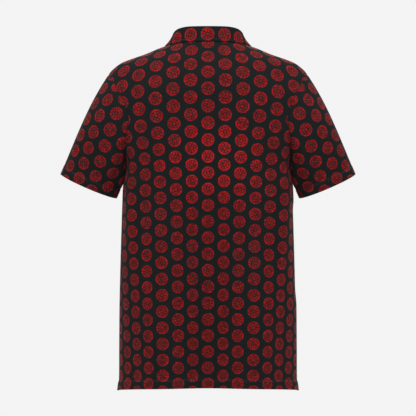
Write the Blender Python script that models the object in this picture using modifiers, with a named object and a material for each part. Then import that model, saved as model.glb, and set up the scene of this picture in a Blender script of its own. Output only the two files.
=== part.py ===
# Golf shirt in its worn form, hollow, with nothing inside it. Metres, +Z up.
# The origin lies between the two shoulder points, level with where the collar meets the shoulders.
# The front of the shirt looks along -Y and its left sleeve, as it is worn, is on the +X side.

from functools import lru_cache
from math import asin, cos, pi, radians, sin

import bmesh
import bpy
import numpy as np
from mathutils import Matrix, Vector

MM = 0.001

# Driving sizes, in millimetres.
CLOTH = 1.2  # wall of the jersey panels
COLLAR_CLOTH = 1.8  # wall of the collar and placket, which are two layers fused
SEAM_GAP = 0.3  # left open between neighbouring pieces at each seam

HEM_HEIGHT = -716.0  # hem at the centre, below the shoulder points
HEM_DROP = 7.0  # how much lower the hem is at the side seams
UNDERARM_HEIGHT = -250.0
SHOULDER_TIP_HEIGHT = -63.0
ARMHOLE_DEPTH = {"back": 90.0, "front": 74.0}  # widest reach of the armhole from the shoulder line

NECK_HALF_WIDTH = 80.0
NECK_SIDE_HEIGHT = 3.0
NECK_CENTRE_HEIGHT = {"back": 12.0, "front": -72.0}
NECK_ROUNDNESS = {"back": 2.0, "front": 1.3}  # how gently the neckline leaves the side of the neck

SLEEVE_HEM_CENTRE = Vector((250.5, -6.0, -293.8))
SLEEVE_HEM_HALF_WIDTH = 64.0
SLEEVE_HEM_HALF_DEPTH = 50.0
SLEEVE_HEM_TILT = radians(23.1)  # the opening's slope seen from the back
SLEEVE_SWING = radians(7.5)  # how far the sleeve hangs forward

PLACKET_WIDTH = 32.0
PLACKET_OVERLAP = 9.0  # how far the placket runs below the slit
PLACKET_TOP_GAP = 1.0  # from the placket's top edge to the neckline
PLACKET_GAP = 0.4  # between the placket's strips and the flat faces of the front panel
SLIT_HALF_WIDTH = 12.0
BUTTON_DIAMETER = 11.5
BUTTON_THICKNESS = 2.6
BUTTON_RIM = 1.0  # width of the raised rim, and of the step inside it
BUTTON_STEP = 0.4
BUTTON_DISH = 0.6  # how far the middle is sunk
BUTTON_EDGE = 0.6  # rounding of the outer edges
BUTTON_HEIGHTS = (-86.0, -138.0, -190.0)
THREAD_HOLES = 4
THREAD_HOLE_DIAMETER = 1.8
THREAD_HOLE_CIRCLE = 3.8  # diameter of the circle that the holes lie on
SLIT_FOOT = -210.0  # about where the slit ends: it ends on the nearest row of the panel

# Mesh steps. Panels, sleeves and collar share the steps along their seams.
HALF_COLUMNS = 15
NECK_COLUMNS = 8  # columns of each half panel that end on the neckline
LOWER_LEVELS = (0, 0.04, 0.13, 0.24, 0.36, 0.48, 0.59, 0.70, 0.79, 0.865, 0.92, 0.96, 1)
LOWER_ROWS = len(LOWER_LEVELS) - 1  # hem to underarm, at these shares of the way
UPPER_ROWS = 13  # underarm to shoulder tip, along the armhole
SLEEVE_ROWS = 10
FALL_ROWS = 5
PLACKET_COLUMNS, PLACKET_ROWS = 6, 12
QUARTER_POINTS = 97  # along a quarter of a level section
ROWS_FOLLOW_SEAM = 0.65  # how far the rows keep the armhole's even steps at the centre line
NORMAL_STEP = 0.004  # between the neighbours that a surface's direction is read from

# Where the columns meet the neckline, as turns from its centre: the first is at the slit's edge.
SLIT_TURN = asin(SLIT_HALF_WIDTH / NECK_HALF_WIDTH) / (pi / 2)
NECK_TURNS = [0.0]
for _k in range(NECK_COLUMNS):
    NECK_TURNS.append(SLIT_TURN + (1 - SLIT_TURN) * _k / (NECK_COLUMNS - 1))

# The body that the cloth hangs on, as level sections: height, half width, depth behind and in front
# of the shoulder line, and the exponent that squares the section off (2 is an ellipse).
SECTION_COLUMNS = ("height", "half_width", "back", "front", "squareness")
SECTIONS = (
    (-724, 190.2, 119, 123, 2.3),
    (-712, 188.8, 118.5, 122.5, 2.3),
    (-698, 187.0, 118, 122, 2.3),
    (-640, 186.6, 117, 121, 2.4),
    (-540, 185.8, 114, 119, 2.7),
    (-440, 183.4, 111, 117, 3.1),
    (-340, 180.2, 110, 116, 3.5),
    (-292, 178.2, 111, 117, 3.5),
    (-268, 174.4, 111.5, 117, 3.4),
    (-245, 172.6, 112, 117, 3.4),
    (-215, 184.0, 112.5, 115, 3.4),
    (-185, 200.0, 113, 111.5, 3.3),
    (-155, 206.0, 113, 104.5, 3.2),
    (-125, 217.0, 112.5, 94, 2.8),
    (-95, 220.0, 111.5, 80.5, 2.4),
    (-76, 217.0, 108.5, 71, 2.1),
    (-63, 210.4, 105, 65, 2.0),
    (-50, 200.5, 99.5, 58, 1.95),
    (-34, 178.0, 91, 49.5, 1.9),
    (-17, 134.0, 80.5, 39.5, 1.9),
    (-5, 102.5, 72.5, 32, 1.9),
    (3, 80.0, 66.5, 27, 1.95),
    (14, 62.0, 58.5, 22, 2.0),
)

# Soft folds of the hanging cloth: the panel, the distance across the cloth from its centre (the
# wearer's left is positive), the fold's half breadth, its height (out of the panel is positive),
# the level where it starts, the levels between which it is at its full height, the level where it
# has died out, and how far it drifts sideways between its first and last levels.
FOLDS = (
    # panel, across, breadth, rise, start, full_from, full_to, end, drift
    ("back", 0, 44, -25.0, -60, -600, -730, -1000, 2),
    ("back", 97, 45, 17.0, -70, -610, -730, -1000, 6),
    ("back", -98, 45, 16.0, -60, -580, -730, -1000, -4),
    ("back", 126, 17, -5.0, -140, -260, -330, -520, 9),
    ("back", -125, 17, -4.5, -150, -270, -350, -540, -7),
    ("back", 163, 19, 4.5, -160, -270, -340, -540, 6),
    ("back", -163, 19, 4.5, -160, -260, -330, -560, -6),
    ("front", 78, 42, 11.0, -180, -600, -740, -1000, 12),
    ("front", -84, 40, 12.0, -170, -580, -740, -1000, -10),
    ("front", -4, 40, -10.0, -260, -580, -740, -1000, 5),
    ("front", 152, 26, -7.0, -220, -380, -460, -680, 10),
    ("front", -150, 24, -6.0, -230, -390, -450, -650, -9),
)
FOLDS_END = 42.0  # the folds flatten over this much cloth beside a side seam
SEAM_VALLEY = {"back": 2.8, "front": 2.8}  # how far a panel dips into the armhole seam
SEAM_VALLEY_BREADTH = 17.0

# The sleeve's lines run from the armhole to its hem. Round the armhole: the turn from the shoulder
# tip (a half turn is the underarm), the way each line leaves the seam and its pull there.
SLEEVE_COLUMNS = ("turn", "out", "rearward", "down", "pull")
SLEEVE_START = (
    (0.00, 0.58, 0.00, 0.87, 76),
    (0.12, 0.62, 0.20, 0.74, 70),
    (0.25, 0.66, 0.12, 0.74, 54),
    (0.33, 0.58, 0.10, 0.80, 42),
    (0.41, 0.34, 0.08, 0.94, 34),
    (0.50, 0.08, 0.00, 1.00, 34),
)
SLEEVE_END_PULL = {"top": 76, "bottom": 22}
SLEEVE_CLEARANCE = 0.8  # between the hanging sleeve and the side of the shirt that it touches
SLEEVE_SETTLES = 8.0  # the clearance grows to that over this way from the seam
SLEEVE_TOUCHES_FROM = 0.2  # the turn from which the sleeve's lines can come near the side

# The collar round the neck: the turn from the centre back (1 is the centre front), the height of
# the roll line and how far it leans in from the neckline, and where the outer edge of the fall
# lies in plan, as its distance from the centre line and behind the shoulder line.
COLLAR_COLUMNS = ("turn", "roll_height", "lean", "edge_out", "edge_behind")
COLLAR = (
    (0.00, 39.6, 3.0, 0.0, 63.0),
    (0.10, 39.5, 3.5, 19.6, 60.8),
    (0.20, 38.9, 5.0, 39.0, 53.8),
    (0.30, 36.0, 6.5, 58.5, 40.0),
    (0.40, 30.3, 8.0, 76.5, 21.0),
    (0.50, 22.4, 8.5, 88.5, 1.0),
    (0.60, 7.0, 8.5, 94.0, -21.0),
    (0.70, -13.0, 8.0, 92.0, -41.5),
    (0.80, -31.0, 7.5, 82.0, -59.4),
    (0.90, -44.0, 7.0, 67.5, -73.9),
    (1.00, -51.0, 7.0, 50.0, -87.5),
)
COLLAR_LEVELS = (-130, 13)  # between which the fall's edge lies
COLLAR_END_GAP = 3.0  # from the centre front to each end of the collar
COLLAR_LIFT = 0.6  # from the neckline to the stand's lower edge
FOLD_RADIUS = 2.3  # at the roll line
FALL_BULGE = 1.6  # how full the fall is between the roll line and its edge
FALL_CLEARANCE = 2.6  # from the fall's middle surface to the panel under it

COLOURS = {
    "jersey": (0.014, 0.011, 0.011, 1.0),
    "collar": (0.020, 0.014, 0.014, 1.0),
    "button": (0.018, 0.018, 0.019, 1.0),
}


def column(table, columns, name, place):
    """One column of a table at a place along its first column, as a smooth curve through the rows."""
    rows = sorted(table)
    at = [row[0] for row in rows]
    values = [row[columns.index(name)] for row in rows]
    place = min(max(place, at[0]), at[-1])
    i = min(max(int(np.searchsorted(at, place)) - 1, 0), len(at) - 2)

    def slope(k):
        low, high = max(k - 1, 0), min(k + 1, len(at) - 1)
        return (values[high] - values[low]) / (at[high] - at[low])

    span = at[i + 1] - at[i]
    t = (place - at[i]) / span
    return (
        (2 * t**3 - 3 * t**2 + 1) * values[i]
        + (t**3 - 2 * t**2 + t) * span * slope(i)
        + (3 * t**2 - 2 * t**3) * values[i + 1]
        + (t**3 - t**2) * span * slope(i + 1)
    )


def ease(t):
    t = min(max(t, 0.0), 1.0)
    return t * t * (3 - 2 * t)


@lru_cache(maxsize=None)
def quarter(panel, height):
    """A quarter of the level section, centre to side seam: points, distances along it, normals."""
    half_width = column(SECTIONS, SECTION_COLUMNS, "half_width", height)
    depth = column(SECTIONS, SECTION_COLUMNS, panel, height)
    power = 2 / column(SECTIONS, SECTION_COLUMNS, "squareness", height)
    rear = 1 if panel == "back" else -1
    turn = np.linspace(0, pi / 2, QUARTER_POINTS)
    x = half_width * np.sin(turn) ** power
    y = rear * depth * np.maximum(np.cos(turn), 0) ** power
    along = np.concatenate([[0], np.cumsum(np.hypot(np.diff(x), np.diff(y)))])
    even = np.linspace(0, along[-1], QUARTER_POINTS)
    x, y = np.interp(even, along, x), np.interp(even, along, y)
    normal = np.array([-rear * np.gradient(y, even), rear * np.gradient(x, even)])
    normal[:, 0], normal[:, -1] = (0, rear), (1, 0)
    return x, y, even, normal / np.hypot(*normal)


def fold_rise(panel, across, to_side, height):
    total = 0.0
    for name, place, breadth, rise, start, full_from, full_to, end, drift in FOLDS:
        if name != panel or not end < height < start:
            continue
        grown = ease((start - height) / (start - full_from)) * ease((height - end) / (full_to - end))
        place += drift * (start - height) / (start - end)
        total += rise * grown * np.exp(-(((across - place) / breadth) ** 2))
    return total * ease(to_side / FOLDS_END)


def valley_dip(panel, y, height):
    """How far the panel dips near the armhole, which is an oval seen from the side."""
    middle = (SHOULDER_TIP_HEIGHT + UNDERARM_HEIGHT) / 2
    tall = (SHOULDER_TIP_HEIGHT - UNDERARM_HEIGHT) / 2
    deep = ARMHOLE_DEPTH[panel]
    reach = np.hypot(y / deep, (height - middle) / tall)
    if reach < 1e-6:
        return SEAM_VALLEY[panel]
    beside = abs(y / deep) / reach
    away = max(reach - 1, 0) * deep
    deepest = SEAM_VALLEY[panel] * beside**2 * ease((height - UNDERARM_HEIGHT) / 110)
    return deepest * np.exp(-((away / SEAM_VALLEY_BREADTH) ** 2))


def body_point(panel, hand, fraction, height, lift=0.0):
    """A point of the shirt's outer surface, or lifted off it, a fraction of the way to the side."""
    x, y, along, normal = quarter(panel, round(height, 4))
    place = fraction * (along[-1] - SEAM_GAP / 2)
    px, py = np.interp(place, along, x), np.interp(place, along, y)
    nx, ny = np.interp(place, along, normal[0]), np.interp(place, along, normal[1])
    out = fold_rise(panel, hand * place, along[-1] - place, height) - valley_dip(panel, py, height) + lift
    return Vector((hand * (px + nx * out), py + ny * out, height))


def outward(panel, hand, fraction, height):
    """The surface's normal. On the seams at the sides both panels give the same one."""
    ahead = body_point(panel, hand, min(fraction + NORMAL_STEP, 1), height)
    across = ahead - body_point(panel, hand, max(fraction - NORMAL_STEP, 0), height)
    if fraction > 1 - NORMAL_STEP:
        across = Vector((0, across.y, 0))
    up = body_point(panel, hand, fraction, height + 0.5) - body_point(panel, hand, fraction, height - 0.5)
    normal = across.cross(up).normalized()
    return normal if (panel == "front") == (hand > 0) else -normal


def fraction_at_x(panel, x, height):
    points, _, along, _ = quarter(panel, round(height, 4))
    return float(np.interp(x, points, along) / along[-1])


def fraction_at_y(panel, y, height):
    _, points, along, _ = quarter(panel, round(height, 4))
    return float(np.interp(-y, -abs(points), along) / along[-1])


def armhole(panel, turn):
    """Fraction and height on the armhole: turn 0 is the shoulder tip and 0.5 the underarm."""
    angle = 2 * pi * turn
    middle = (SHOULDER_TIP_HEIGHT + UNDERARM_HEIGHT) / 2
    height = middle + (SHOULDER_TIP_HEIGHT - UNDERARM_HEIGHT) / 2 * cos(angle)
    return fraction_at_y(panel, ARMHOLE_DEPTH[panel] * sin(angle), height), height


@lru_cache(maxsize=None)
def armhole_fraction(panel, height):
    """How far round the panel reaches at a level between the underarm and the shoulder tip."""
    middle = (SHOULDER_TIP_HEIGHT + UNDERARM_HEIGHT) / 2
    tall = (SHOULDER_TIP_HEIGHT - UNDERARM_HEIGHT) / 2
    level = min(max((height - middle) / tall, -1), 1)
    return fraction_at_y(panel, ARMHOLE_DEPTH[panel] * (1 - level**2) ** 0.5, height)


def neckline(panel, turn):
    """Fraction and height on the neckline: turn 0 is the centre and 1 the side of the neck."""
    level = max(cos(pi / 2 * turn), 0) ** NECK_ROUNDNESS[panel]
    height = NECK_SIDE_HEIGHT + (NECK_CENTRE_HEIGHT[panel] - NECK_SIDE_HEIGHT) * level
    return fraction_at_x(panel, NECK_HALF_WIDTH * sin(pi / 2 * turn), height), height


def top_edge(panel, step):
    if step <= NECK_COLUMNS:
        return neckline(panel, NECK_TURNS[step])
    down = (step - NECK_COLUMNS) / (HALF_COLUMNS - NECK_COLUMNS)
    return 1.0, NECK_SIDE_HEIGHT + (SHOULDER_TIP_HEIGHT - NECK_SIDE_HEIGHT) * down


def panel_place(panel, step, row):
    """Fraction and height of a grid point of a body panel, worked out from its four edges."""
    u = step / HALF_COLUMNS
    underarm = u, UNDERARM_HEIGHT
    if row <= LOWER_ROWS:
        hem = HEM_HEIGHT - HEM_DROP * u**2
        return u, hem + (UNDERARM_HEIGHT - hem) * LOWER_LEVELS[row]
    s = (row - LOWER_ROWS) / UPPER_ROWS
    top = top_edge(panel, step)
    top_corner = top_edge(panel, HALF_COLUMNS)
    seam = armhole(panel, 0.5 * (1 - s))
    # Along the armhole the rows are set out by the seam's own length, so the centre follows it.
    rise = (1 - ROWS_FOLLOW_SEAM) * (sin(pi * (s - 0.5)) + 1) / 2 + ROWS_FOLLOW_SEAM * s
    centre_top = top_edge(panel, 0)
    centre = 0.0, UNDERARM_HEIGHT + (centre_top[1] - UNDERARM_HEIGHT) * rise
    place = []
    for k in (0, 1):
        across = (1 - rise) * underarm[k] + rise * top[k]
        ahead = (1 - u) * centre[k] + u * seam[k]
        corners = (1 - rise) * ((1 - u) * (0.0, UNDERARM_HEIGHT)[k] + u * (1.0, UNDERARM_HEIGHT)[k])
        corners += rise * ((1 - u) * centre_top[k] + u * top_corner[k])
        place.append(across + ahead - corners)
    return tuple(place)


def grid(columns, rows, place):
    """A grid of columns x rows faces whose point (i, j) goes to place(i, j), in millimetres."""
    bm = bmesh.new()
    bmesh.ops.create_grid(bm, x_segments=columns, y_segments=rows, size=0.5)
    column_of = bm.verts.layers.int.new("column")
    row_of = bm.verts.layers.int.new("row")
    for vertex in bm.verts:
        vertex[column_of] = round((vertex.co.x + 0.5) * columns)
        vertex[row_of] = round((vertex.co.y + 0.5) * rows)
        vertex.co = place(vertex[column_of], vertex[row_of]) * MM
    return bm


def wall_object(name, bm, inner, material):
    """An object whose mesh is the grid's surface, its inner surface at inner(i, j) and its rims."""
    column_of = bm.verts.layers.int["column"]
    row_of = bm.verts.layers.int["row"]
    made = bmesh.ops.extrude_face_region(bm, geom=bm.faces[:], use_keep_orig=True)
    for vertex in made["geom"]:
        if isinstance(vertex, bmesh.types.BMVert):
            vertex.co = inner(vertex[column_of], vertex[row_of]) * MM
    bmesh.ops.recalc_face_normals(bm, faces=bm.faces)
    mesh = bpy.data.meshes.new(name)
    bm.to_mesh(mesh)
    bm.free()
    mesh.shade_smooth()
    mesh.set_sharp_from_angle(angle=radians(50))
    return add_object(name, mesh, material)


def strip_object(name, bm, material):
    """An object whose mesh is the middle of a thicker strip, given its wall by Solidify."""
    mesh = bpy.data.meshes.new(name)
    bm.to_mesh(mesh)
    bm.free()
    mesh.shade_smooth()
    obj = add_object(name, mesh, material)
    wall = obj.modifiers.new("wall", "SOLIDIFY")
    wall.thickness = COLLAR_CLOTH * MM
    wall.offset = 0.0
    wall.use_quality_normals = True
    return obj


def add_object(name, mesh, material):
    obj = bpy.data.objects.new(name, mesh)
    obj.data.materials.append(material)
    bpy.data.collections["golf_shirt"].objects.link(obj)
    return obj


def body_panel_places(panel, place_of):
    """The outer and the inner place of each grid point of a body panel."""

    def spot(i, j):
        hand = 1 if i >= HALF_COLUMNS else -1
        return (panel, hand, *place_of(abs(i - HALF_COLUMNS), j))

    def outer(i, j):
        return body_point(*spot(i, j))

    def inner(i, j):
        return body_point(*spot(i, j)) - outward(*spot(i, j)) * CLOTH

    return outer, inner


def back_panel(material):
    outer, inner = body_panel_places("back", lambda step, row: panel_place("back", step, row))
    wall_object("back", grid(2 * HALF_COLUMNS, LOWER_ROWS + UPPER_ROWS, outer), inner, material)


def slit_row():
    """The row of the front panel whose centre is at the foot of the slit."""
    rows = range(LOWER_ROWS, LOWER_ROWS + UPPER_ROWS)
    return min(rows, key=lambda row: abs(panel_place("front", 0, row)[1] - SLIT_FOOT))


def front_panel(material):
    """The front, with its first columns kept at the slit's width and the slit left out."""

    def place_of(step, row):
        fraction, height = panel_place("front", step, row)
        return (fraction_at_x("front", SLIT_HALF_WIDTH, height) if step == 1 else fraction), height

    outer, inner = body_panel_places("front", place_of)
    bm = grid(2 * HALF_COLUMNS, LOWER_ROWS + UPPER_ROWS, outer)
    foot = panel_place("front", 0, slit_row())[1] * MM
    slit = []
    for face in bm.faces:
        middle = face.calc_center_median()
        if abs(middle.x) < SLIT_HALF_WIDTH * MM and middle.z > foot:
            slit.append(face)
    bmesh.ops.delete(bm, geom=slit, context="FACES")
    wall_object("front", bm, inner, material)


def clear_of_body(point, need):
    """The point, moved out where it is nearer to the panels' outer surface than it needs to be.

    The nearest place is looked for along the side part of the level section at the point."""
    panel = "back" if point.y >= 0 else "front"
    height = round(point.z, 1)
    above = height > UNDERARM_HEIGHT
    limit = armhole_fraction(panel, height) if above else 1.0

    def away_from(fraction):
        wall = body_point(panel, 1, fraction, height)
        return Vector((point.x - wall.x, point.y - wall.y, 0))

    fraction = min(np.linspace(limit, 0.6 * limit, 40), key=lambda place: away_from(place).length)
    if above and fraction == limit:
        return point
    away = away_from(fraction)
    normal = outward(panel, 1, fraction, height)
    normal = Vector((normal.x, normal.y, 0)).normalized()
    return point + normal * max(need - away.dot(normal), 0)


def sleeve_point(turn, t):
    """A point of the left sleeve: turn 0 is its top line, 0.25 its back and 0.5 the underarm."""
    panel = "back" if turn <= 0.5 else "front"
    near = min(turn, 1 - turn)
    rear = 1 if panel == "back" else -1
    start = body_point(panel, 1, *armhole(panel, near))
    angle = 2 * pi * turn
    across = Vector((cos(SLEEVE_HEM_TILT), 0, sin(SLEEVE_HEM_TILT)))
    rearward = Vector((0, cos(SLEEVE_SWING), -sin(SLEEVE_SWING)))
    down = rearward.cross(across).normalized()
    end = SLEEVE_HEM_CENTRE + across * (SLEEVE_HEM_HALF_WIDTH * cos(angle))
    end += rearward * (SLEEVE_HEM_HALF_DEPTH * sin(angle))
    away = Vector(
        (
            column(SLEEVE_START, SLEEVE_COLUMNS, "out", near),
            rear * column(SLEEVE_START, SLEEVE_COLUMNS, "rearward", near),
            -column(SLEEVE_START, SLEEVE_COLUMNS, "down", near),
        )
    ).normalized()
    pull = column(SLEEVE_START, SLEEVE_COLUMNS, "pull", near)
    top = (1 + cos(angle)) / 2
    end_pull = SLEEVE_END_PULL["bottom"] + (SLEEVE_END_PULL["top"] - SLEEVE_END_PULL["bottom"]) * top
    start = start + (away + outward(panel, 1, *armhole(panel, near))) * SEAM_GAP
    controls = (start, start + away * pull, end - down * end_pull, end)
    weights = ((1 - t) ** 3, 3 * (1 - t) ** 2 * t, 3 * (1 - t) * t**2, t**3)
    point = sum((c * w for c, w in zip(controls, weights)), Vector())
    if near < SLEEVE_TOUCHES_FROM or t == 0:
        return point
    settled = ease((point - start).length / SLEEVE_SETTLES)
    return clear_of_body(point, SEAM_GAP + SLEEVE_CLEARANCE * settled)


def sleeve_outward(turn, t):
    around = sleeve_point((turn + NORMAL_STEP) % 1, t) - sleeve_point((turn - NORMAL_STEP) % 1, t)
    low, high = max(t - NORMAL_STEP, 0), min(t + NORMAL_STEP, 1)
    return (sleeve_point(turn, high) - sleeve_point(turn, low)).cross(around).normalized()


def sleeve(hand, material):
    around = 2 * UPPER_ROWS

    def outer(i, j):
        point = sleeve_point((i % around) / around, j / SLEEVE_ROWS)
        return Vector((hand * point.x, point.y, point.z))

    def inner(i, j):
        turn, t = (i % around) / around, j / SLEEVE_ROWS
        point = sleeve_point(turn, t) - sleeve_outward(turn, t) * CLOTH
        return Vector((hand * point.x, point.y, point.z))

    bm = grid(around, SLEEVE_ROWS, outer)
    bmesh.ops.remove_doubles(bm, verts=bm.verts, dist=0.01 * MM)
    wall_object("sleeve_left" if hand > 0 else "sleeve_right", bm, inner, material)


def collar_seam(turn):
    """A point of the neckline, from the centre back (0) over the side of the neck to the front (1)."""
    if turn <= 0.5:
        return body_point("back", 1, *neckline("back", 2 * turn))
    fraction, height = neckline("front", 2 - 2 * turn)
    return body_point("front", 1, fraction, height)


def level_under(panel, x, y):
    """The level at which a panel passes under a place in plan, on the slope of the shoulders."""
    low, high = COLLAR_LEVELS
    while high - low > 0.05:
        height = (low + high) / 2
        half_width = column(SECTIONS, SECTION_COLUMNS, "half_width", height)
        depth = column(SECTIONS, SECTION_COLUMNS, panel, height)
        power = column(SECTIONS, SECTION_COLUMNS, "squareness", height)
        if (abs(x) / half_width) ** power + (abs(y) / depth) ** power < 1:
            low = height
        else:
            high = height
    return low


def collar_edge(turn):
    """A point of the fall's outer edge, lifted off the panel that it lies over."""
    out = column(COLLAR, COLLAR_COLUMNS, "edge_out", turn)
    behind = column(COLLAR, COLLAR_COLUMNS, "edge_behind", turn)
    panel = "back" if behind > 0 else "front"
    height = level_under(panel, out, behind)
    fraction = fraction_at_x(panel, out, height)
    return body_point(panel, 1, fraction, height) + outward(panel, 1, fraction, height) * FALL_CLEARANCE


def collar_profile(turn):
    """The collar's middle surface from the neckline up the stand, over the roll and down the fall."""
    seam = collar_seam(turn)
    level = Vector((seam.x, seam.y, 0)).normalized()
    up = Vector((0, 0, 1))
    lean = column(COLLAR, COLLAR_COLUMNS, "lean", turn)
    roll = seam - level * lean
    roll.z = column(COLLAR, COLLAR_COLUMNS, "roll_height", turn) - FOLD_RADIUS
    stand_top, fall_top = roll - level * FOLD_RADIUS, roll + level * FOLD_RADIUS
    foot = seam + (stand_top - seam).normalized() * COLLAR_LIFT
    points = [foot.lerp(stand_top, k / 3) for k in range(3)]
    for angle in (180, 135, 90, 45):
        points.append(roll + (level * cos(radians(angle)) + up * sin(radians(angle))) * FOLD_RADIUS)
    edge = collar_edge(turn)
    bend = fall_top.lerp(edge, 0.42) + (level + up) * FALL_BULGE
    for k in range(FALL_ROWS + 1):
        t = k / FALL_ROWS
        points.append(fall_top * (1 - t) ** 2 + bend * 2 * t * (1 - t) + edge * t**2)
    return points


def collar(material):
    turns = [turn / 2 for turn in NECK_TURNS]
    turns += [1 - turn for turn in reversed(turns[:-1])]
    profiles = [collar_profile(turn) for turn in turns]
    last = len(turns) - 1

    def place(i, j):
        hand = 1 if i >= last else -1
        k = abs(i - last)
        point = profiles[k][j]
        end = COLLAR_END_GAP if k == last else 0.0
        return Vector((hand * (point.x + end), point.y, point.z))

    strip_object("collar", grid(2 * last, len(profiles[0]) - 1, place), material)


def placket_strip(name, lift, foot, material):
    """A strip down the centre front, made from the front panel's points and moved in or out."""

    def place(i, j):
        x = PLACKET_WIDTH * (i / PLACKET_COLUMNS - 0.5)
        _, top = neckline("front", asin(abs(x) / NECK_HALF_WIDTH) / (pi / 2))
        height = foot + (top - PLACKET_TOP_GAP - foot) * j / PLACKET_ROWS
        return body_point("front", 1 if x >= 0 else -1, fraction_at_x("front", abs(x), height), height, lift)

    strip_object(name, grid(PLACKET_COLUMNS, PLACKET_ROWS, place), material)


def placket(material):
    foot = panel_place("front", 0, slit_row())[1]
    off = COLLAR_CLOTH / 2 + PLACKET_GAP
    placket_strip("placket_upper", off, foot - PLACKET_OVERLAP, material)
    placket_strip("placket_under", -CLOTH - off - SEAM_GAP, foot - PLACKET_OVERLAP, material)


def thread_hole_mesh():
    """The thread holes as one tool, which every button shares."""
    bm = bmesh.new()
    radius = THREAD_HOLE_DIAMETER / 2 * MM
    for k in range(THREAD_HOLES):
        hole = bmesh.ops.create_cone(
            bm, cap_ends=True, segments=6, radius1=radius, radius2=radius, depth=3 * BUTTON_THICKNESS * MM
        )
        turn = Matrix.Rotation((k + 0.5) * 2 * pi / THREAD_HOLES, 4, "Z")
        bmesh.ops.translate(bm, verts=hole["verts"], vec=turn @ Vector((THREAD_HOLE_CIRCLE / 2 * MM, 0, 0)))
    mesh = bpy.data.meshes.new("thread_holes")
    bm.to_mesh(mesh)
    bm.free()
    return mesh


def button_mesh():
    """A sew-through button: a disc with a raised rim and rounded edges, its face along +Z."""
    bm = bmesh.new()
    radius = BUTTON_DIAMETER / 2 * MM
    bmesh.ops.create_cone(
        bm, cap_ends=True, segments=18, radius1=radius, radius2=radius, depth=BUTTON_THICKNESS * MM
    )
    edges = [edge for edge in bm.edges if edge.calc_face_angle(0) > 1]
    bmesh.ops.bevel(bm, geom=edges, offset=BUTTON_EDGE * MM, segments=2, affect="EDGES", profile=0.5)
    face = max(bm.faces, key=lambda f: f.calc_center_median().z + f.calc_area())
    bmesh.ops.inset_region(bm, faces=[face], thickness=BUTTON_RIM * MM)
    bmesh.ops.inset_region(bm, faces=[face], thickness=BUTTON_STEP * MM, depth=-BUTTON_DISH * MM)
    mesh = bpy.data.meshes.new("button")
    bm.to_mesh(mesh)
    bm.free()
    mesh.shade_smooth()
    mesh.set_sharp_from_angle(angle=radians(35))
    return mesh


def buttons(material):
    tools = bpy.data.collections["tools"]
    mesh, holes = button_mesh(), thread_hole_mesh()
    stack = PLACKET_GAP + COLLAR_CLOTH + SEAM_GAP + BUTTON_THICKNESS / 2
    for number, height in enumerate(BUTTON_HEIGHTS, 1):
        here = body_point("front", 1, 0.0, height)
        up = (body_point("front", 1, 0.0, height + 4) - body_point("front", 1, 0.0, height - 4)).normalized()
        across = Vector((1, 0, 0))
        face = across.cross(up).normalized()
        turned = Matrix((across, up, face)).transposed()
        place = Matrix.Translation((here + face * stack) * MM) @ turned.to_4x4()
        obj = add_object(f"button_{number}", mesh.copy(), material)
        obj.matrix_world = place
        cutter = bpy.data.objects.new(f"thread_holes_{number}", holes)
        tools.objects.link(cutter)
        cutter.matrix_world = place
        cutter.hide_render = True
        cutter.display_type = "WIRE"
        drill = obj.modifiers.new("thread_holes", "BOOLEAN")
        drill.operation = "DIFFERENCE"
        drill.object = cutter


def finish(name, colour, roughness):
    material = bpy.data.materials.new(name)
    material.use_nodes = True
    shader = material.node_tree.nodes["Principled BSDF"]
    shader.inputs["Base Color"].default_value = colour
    shader.inputs["Roughness"].default_value = roughness
    shader.inputs["Metallic"].default_value = 0.0
    material.diffuse_color = colour
    return material


def main():
    for obj in list(bpy.data.objects):
        bpy.data.objects.remove(obj)
    for name in ("golf_shirt", "tools"):
        bpy.context.scene.collection.children.link(bpy.data.collections.new(name))
    jersey = finish("printed_jersey", COLOURS["jersey"], 0.8)
    ribbed = finish("printed_collar_jersey", COLOURS["collar"], 0.8)
    moulded = finish("moulded_button", COLOURS["button"], 0.35)
    back_panel(jersey)
    front_panel(jersey)
    sleeve(1, jersey)
    sleeve(-1, jersey)
    collar(ribbed)
    placket(ribbed)
    buttons(moulded)


main()
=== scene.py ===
# Short-sleeved golf shirt in its worn form, hollow, seen straight on from behind.
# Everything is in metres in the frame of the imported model. The sizes below are in millimetres:
# x runs to the wearer's left, y to the back, z up, from between the two shoulder points.
from functools import lru_cache
from math import asin, cos, pi, radians, sin

import bmesh
import bpy
import numpy as np
from mathutils import Matrix, Vector


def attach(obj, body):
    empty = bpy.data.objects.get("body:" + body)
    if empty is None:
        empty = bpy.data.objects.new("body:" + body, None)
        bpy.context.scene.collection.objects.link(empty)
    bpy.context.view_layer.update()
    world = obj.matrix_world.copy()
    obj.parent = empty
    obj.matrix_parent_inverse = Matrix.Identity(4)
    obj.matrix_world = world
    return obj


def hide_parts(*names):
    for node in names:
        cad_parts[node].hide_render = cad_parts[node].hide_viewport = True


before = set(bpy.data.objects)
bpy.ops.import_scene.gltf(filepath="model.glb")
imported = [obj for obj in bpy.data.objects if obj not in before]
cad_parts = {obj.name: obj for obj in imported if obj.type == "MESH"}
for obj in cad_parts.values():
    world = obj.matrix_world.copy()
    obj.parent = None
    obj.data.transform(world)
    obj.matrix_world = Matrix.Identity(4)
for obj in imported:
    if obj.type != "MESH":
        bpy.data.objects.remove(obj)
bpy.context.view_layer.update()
mm = 0.001

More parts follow.
